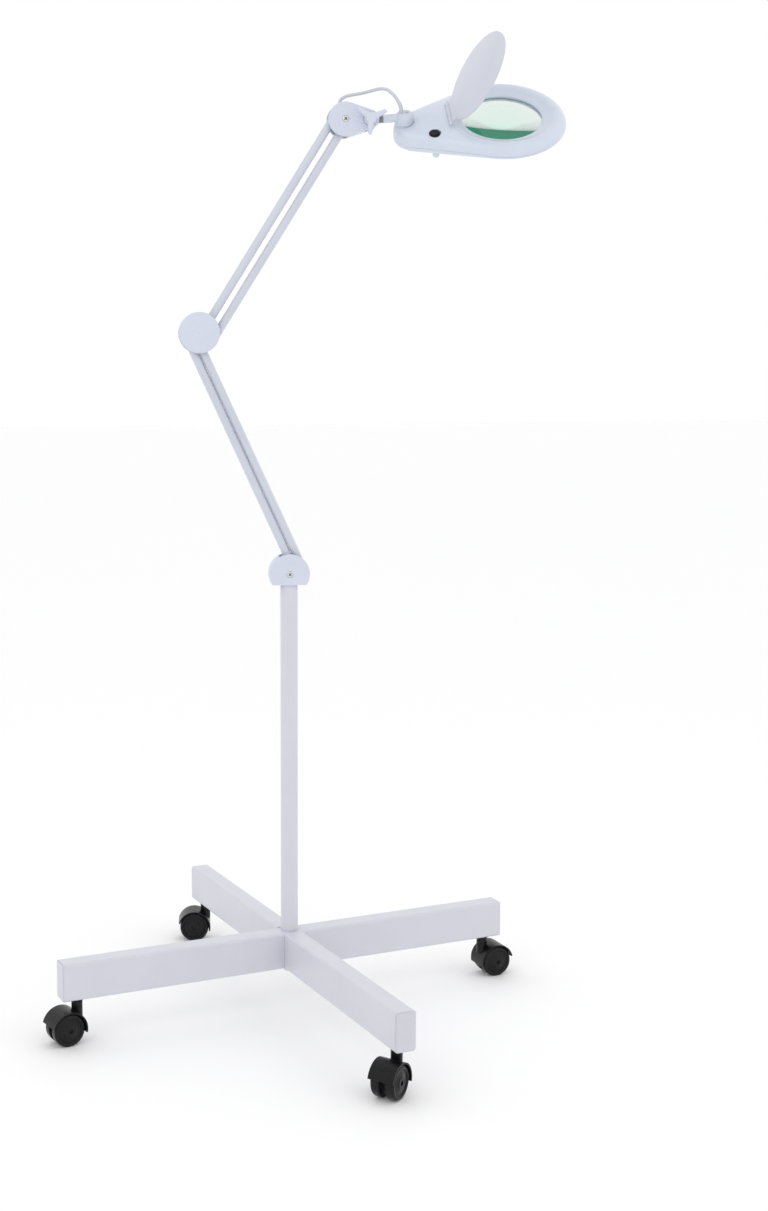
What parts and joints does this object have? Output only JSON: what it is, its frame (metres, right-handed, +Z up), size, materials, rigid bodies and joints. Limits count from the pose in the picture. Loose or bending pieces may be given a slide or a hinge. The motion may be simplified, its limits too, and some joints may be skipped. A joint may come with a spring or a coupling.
{
  "type": "magnifying lamp",
  "caption": "Floor-standing magnifying lamp: ringed lens head with a hinged lid on parallel-link arms, over a pole and a wheeled cross base.",
  "frame": {"origin": "on the floor, on the axis of the pole", "axes": "+Z up; the arms stand in the XZ plane and reach towards +X; -Y is the side with the tilt knob and the cover screws"},
  "size_m": [0.8054, 0.7487, 1.4997],
  "materials": {
    "white_paint": "gloss powder coat",
    "bracket_steel": "painted plate",
    "white_plastic": "smooth moulding",
    "black_nylon": "fine satin",
    "wheel_black": "moulded tread",
    "steel": "zinc plated",
    "chrome": "polished",
    "dark_steel": "dark plated",
    "lens_glass": "polished",
    "diffuser": "frosted",
    "led_white": "solder mask",
    "circuit_green": "solder mask",
    "lead_white": "soft sheath"
  },
  "bodies": {
    "stand": {"leg_tube_front": "white_paint", "leg_tube_side": "white_paint", "leg_caps": "white_plastic", "caster_sockets": "black_nylon", "caster_stems": "steel", "pole": "white_paint", "pole_bolt": "steel", "pole_bush": "white_plastic"},
    "caster_a": {"caster_a_hood": "black_nylon"},
    "caster_a_wheel_l": {"caster_a_wheel_l": "wheel_black"},
    "caster_a_wheel_r": {"caster_a_wheel_r": "wheel_black"},
    "caster_b": {"caster_b_hood": "black_nylon"},
    "caster_b_wheel_l": {"caster_b_wheel_l": "wheel_black"},
    "caster_b_wheel_r": {"caster_b_wheel_r": "wheel_black"},
    "caster_c": {"caster_c_hood": "black_nylon"},
    "caster_c_wheel_l": {"caster_c_wheel_l": "wheel_black"},
    "caster_c_wheel_r": {"caster_c_wheel_r": "wheel_black"},
    "caster_d": {"caster_d_hood": "black_nylon"},
    "caster_d_wheel_l": {"caster_d_wheel_l": "wheel_black"},
    "caster_d_wheel_r": {"caster_d_wheel_r": "wheel_black"},
    "base_knuckle": {"base_bracket": "bracket_steel", "base_cover_front": "white_plastic", "base_cover_back": "white_plastic", "base_fixings": "chrome", "mains_gland": "black_nylon"},
    "lower_main": {"lower_arm_main": "white_paint", "lower_spring": "steel"},
    "lower_link": {"lower_arm_link": "white_paint"},
    "elbow": {"elbow_bracket": "bracket_steel", "elbow_cover_front": "white_plastic", "elbow_cover_back": "white_plastic", "elbow_fixings": "chrome"},
    "upper_main": {"upper_arm_main": "white_paint", "upper_spring": "steel"},
    "upper_link": {"upper_arm_link": "white_paint"},
    "top_knuckle": {"knuckle_bracket": "bracket_steel", "knuckle_cover_front": "white_plastic", "knuckle_cover_back": "white_plastic", "knuckle_fixings": "chrome", "clamp_bolt": "steel", "lead": "lead_white"},
    "wing_knob": {"wing_knob": "white_plastic"},
    "tongue": {"tilt_tongue": "dark_steel"},
    "yoke": {"yoke_rod": "white_paint", "yoke_cap": "white_plastic", "yoke_screw": "chrome", "swivel_bolt": "steel"},
    "head": {"head_top": "white_plastic", "head_bottom": "white_plastic", "head_screws": "steel", "lens": "lens_glass", "lens_ring": "white_plastic", "led_board": "led_white", "light_diffuser": "diffuser", "driver_board": "circuit_green", "driver_hatch": "white_plastic", "switch_body": "black_nylon", "lid_pin": "steel"},
    "rocker": {"switch_rocker": "black_nylon"},
    "lid": {"lid": "white_plastic"}
  },
  "joints": [
    {"name": "caster_a_swivel", "type": "hinge", "parent": "stand", "child": "caster_a", "pos_m": [-0.33471, -0.11525, 0.05], "axis": [0, 0, 1], "continuous": true},
    {"name": "caster_a_spin_l", "type": "hinge", "parent": "caster_a", "child": "caster_a_wheel_l", "pos_m": [-0.35253, -0.12433, 0.025], "axis": [0.454, -0.891, 0], "continuous": true},
    {"name": "caster_a_spin_r", "type": "hinge", "parent": "caster_a", "child": "caster_a_wheel_r", "pos_m": [-0.35253, -0.12433, 0.025], "axis": [0.454, -0.891, 0], "continuous": true},
    {"name": "caster_b_swivel", "type": "hinge", "parent": "stand", "child": "caster_b", "pos_m": [0.11525, -0.33471, 0.05], "axis": [0, 0, 1], "continuous": true},
    {"name": "caster_b_spin_l", "type": "hinge", "parent": "caster_b", "child": "caster_b_wheel_l", "pos_m": [0.10294, -0.35047, 0.025], "axis": [0.788, -0.6157, 0], "continuous": true},
    {"name": "caster_b_spin_r", "type": "hinge", "parent": "caster_b", "child": "caster_b_wheel_r", "pos_m": [0.10294, -0.35047, 0.025], "axis": [0.788, -0.6157, 0], "continuous": true},
    {"name": "caster_c_swivel", "type": "hinge", "parent": "stand", "child": "caster_c", "pos_m": [0.33471, 0.11525, 0.05], "axis": [0, 0, 1], "continuous": true},
    {"name": "caster_c_spin_l", "type": "hinge", "parent": "caster_c", "child": "caster_c_wheel_l", "pos_m": [0.35384, 0.1211, 0.025], "axis": [-0.2924, 0.9563, 0], "continuous": true},
    {"name": "caster_c_spin_r", "type": "hinge", "parent": "caster_c", "child": "caster_c_wheel_r", "pos_m": [0.35384, 0.1211, 0.025], "axis": [-0.2924, 0.9563, 0], "continuous": true},
    {"name": "caster_d_swivel", "type": "hinge", "parent": "stand", "child": "caster_d", "pos_m": [-0.11525, 0.33471, 0.05], "axis": [0, 0, 1], "continuous": true},
    {"name": "caster_d_spin_l", "type": "hinge", "parent": "caster_d", "child": "caster_d_wheel_l", "pos_m": [-0.13522, 0.33576, 0.025], "axis": [-0.0523, -0.9986, 0], "continuous": true},
    {"name": "caster_d_spin_r", "type": "hinge", "parent": "caster_d", "child": "caster_d_wheel_r", "pos_m": [-0.13522, 0.33576, 0.025], "axis": [-0.0523, -0.9986, 0], "continuous": true},
    {"name": "arm_swivel", "type": "hinge", "parent": "stand", "child": "base_knuckle", "pos_m": [0, 0, 0.6641], "axis": [0, 0, 1], "range_deg": [-170, 170]},
    {"name": "lower_arm", "type": "hinge", "parent": "base_knuckle", "child": "lower_main", "pos_m": [0.0044, 0, 0.70727], "axis": [0, -1, 0], "range_deg": [-95, 0]},
    {"name": "lower_link", "type": "hinge", "parent": "base_knuckle", "child": "lower_link", "pos_m": [0.0239, 0, 0.69685], "axis": [0, -1, 0], "range_deg": [-95, 0]},
    {"name": "elbow", "type": "hinge", "parent": "lower_main", "child": "elbow", "pos_m": [-0.1567, 0, 1.05914], "axis": [0, -1, 0], "range_deg": [0, 95]},
    {"name": "upper_arm", "type": "hinge", "parent": "elbow", "child": "upper_main", "pos_m": [-0.12582, 0, 1.07307], "axis": [0, -1, 0], "range_deg": [-65, 15]},
    {"name": "upper_link", "type": "hinge", "parent": "elbow", "child": "upper_link", "pos_m": [-0.1139, 0, 1.05444], "axis": [0, -1, 0], "range_deg": [-65, 15]},
    {"name": "top_knuckle", "type": "hinge", "parent": "upper_main", "child": "top_knuckle", "pos_m": [0.07135, 0, 1.38616], "axis": [0, -1, 0], "range_deg": [-15, 65]},
    {"name": "knob_turn", "type": "hinge", "parent": "top_knuckle", "child": "wing_knob", "pos_m": [0.12138, -0.02, 1.37806], "axis": [0, -1, 0], "range_deg": [-40, 320]},
    {"name": "head_tilt", "type": "hinge", "parent": "top_knuckle", "child": "tongue", "pos_m": [0.12138, 0, 1.37806], "axis": [0, -1, 0], "range_deg": [-55, 35], "deforming": ["lead"]},
    {"name": "head_roll", "type": "hinge", "parent": "tongue", "child": "yoke", "pos_m": [0.15127, 0, 1.38068], "axis": [0.9962, 0, 0.0872], "range_deg": [-99, 21]},
    {"name": "head_swivel", "type": "hinge", "parent": "yoke", "child": "head", "pos_m": [0.17635, 0.00629, 1.37507], "axis": [-0.0677, -0.6293, 0.7742], "range_deg": [-55, 65]},
    {"name": "lid_hinge", "type": "hinge", "parent": "head", "child": "lid", "pos_m": [0.24178, -0.00639, 1.38727], "axis": [-0.0322, -0.7742, -0.6321], "range_deg": [-60, 30]},
    {"name": "switch_press", "type": "hinge", "parent": "head", "child": "rocker", "pos_m": [0.21581, -0.02815, 1.35377], "axis": [0.0224, 0.6791, 0.7337], "range_deg": [0, 12]}
  ],
  "couplings": [
    {"joint": "lower_link", "follows": "lower_arm", "ratio": 1},
    {"joint": "elbow", "follows": "lower_arm", "ratio": -1},
    {"joint": "upper_link", "follows": "upper_arm", "ratio": 1},
    {"joint": "top_knuckle", "follows": "upper_arm", "ratio": -1}
  ]
}
